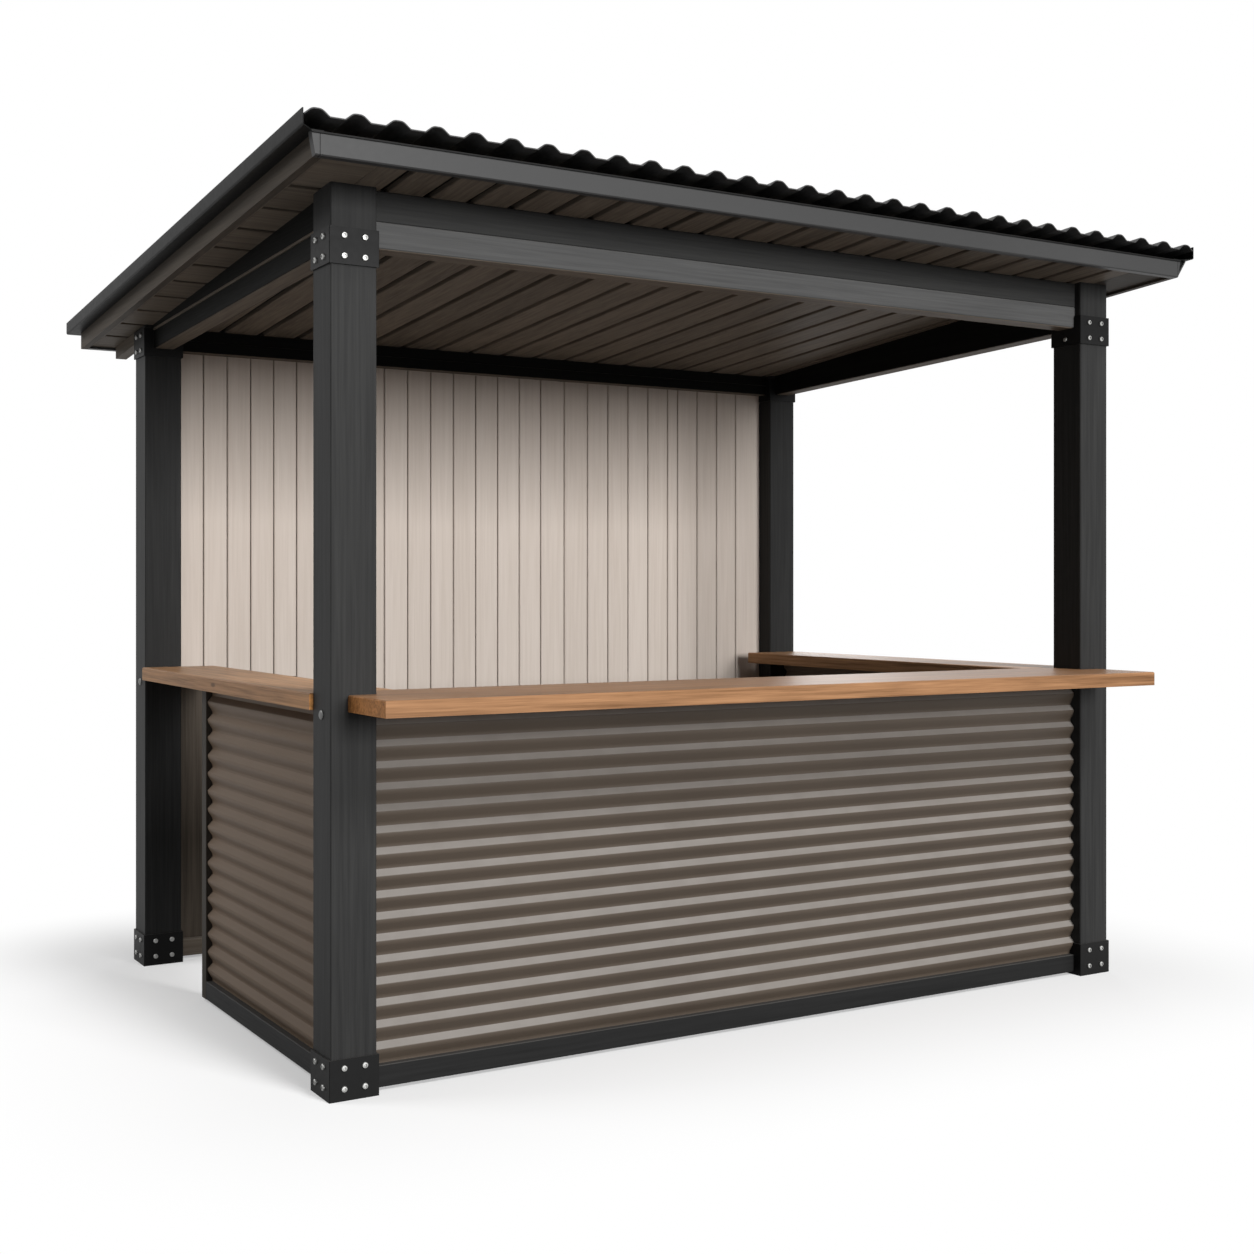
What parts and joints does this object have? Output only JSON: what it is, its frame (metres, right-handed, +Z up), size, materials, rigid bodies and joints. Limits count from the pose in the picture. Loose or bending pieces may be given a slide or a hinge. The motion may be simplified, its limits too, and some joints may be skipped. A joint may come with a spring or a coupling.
{
  "type": "garden bar",
  "caption": "Open-frame garden bar with square posts, a corrugated lean-to roof, corrugated apron panels, a boarded back wall and a timber counter on three sides.",
  "frame": {"origin": "on the ground under the middle of the plan", "axes": "+X to the right seen from the front, +Y from the front counter to the back wall, +Z up"},
  "size_m": [3.085, 2.485, 2.4331],
  "materials": {
    "charcoal_timber": "satin paint",
    "black_steel": "satin powder coat",
    "charcoal_trim": "satin",
    "black_sheet": "satin",
    "taupe_sheet": "satin",
    "taupe_timber": "matt stain",
    "pale_boards": "matt paint",
    "oak_counter": "oiled"
  },
  "bodies": {
    "root": {"back_beam_lower": "charcoal_timber", "back_beam_upper": "charcoal_timber", "back_bottom_rail": "charcoal_trim", "back_wall": "pale_boards", "ceiling": "taupe_timber", "front_beam_lower": "charcoal_timber", "front_beam_upper": "charcoal_timber", "front_bottom_rail": "charcoal_trim", "front_counter": "oak_counter", "front_fascia": "charcoal_trim", "front_panel": "taupe_sheet", "left_barge_board": "taupe_timber", "left_barge_flashing": "charcoal_trim", "left_bottom_rail": "charcoal_trim", "left_counter": "oak_counter", "left_panel": "taupe_sheet", "left_rafter_tail": "taupe_timber", "left_side_beam": "charcoal_timber", "left_verge_soffit": "taupe_timber", "panel_jamb": "charcoal_trim", "post_back_left": "charcoal_timber", "post_back_right": "charcoal_timber", "post_bracket_back_left": "black_steel", "post_bracket_back_right": "black_steel", "post_bracket_front_left": "black_steel", "post_bracket_front_right": "black_steel", "post_front_left": "charcoal_timber", "post_front_right": "charcoal_timber", "post_shoe_back_left": "black_steel", "post_shoe_back_right": "black_steel", "post_shoe_front_left": "black_steel", "post_shoe_front_right": "black_steel", "rear_fascia": "charcoal_trim", "right_barge_board": "taupe_timber", "right_barge_flashing": "charcoal_trim", "right_bottom_rail": "charcoal_trim", "right_counter": "oak_counter", "right_panel": "taupe_sheet", "right_rafter_tail": "taupe_timber", "right_side_beam": "charcoal_timber", "right_verge_soffit": "taupe_timber", "roof_batten_front": "taupe_timber", "roof_batten_middle": "taupe_timber", "roof_batten_rear": "taupe_timber", "roof_sheet": "black_sheet"}
  },
  "joints": []
}
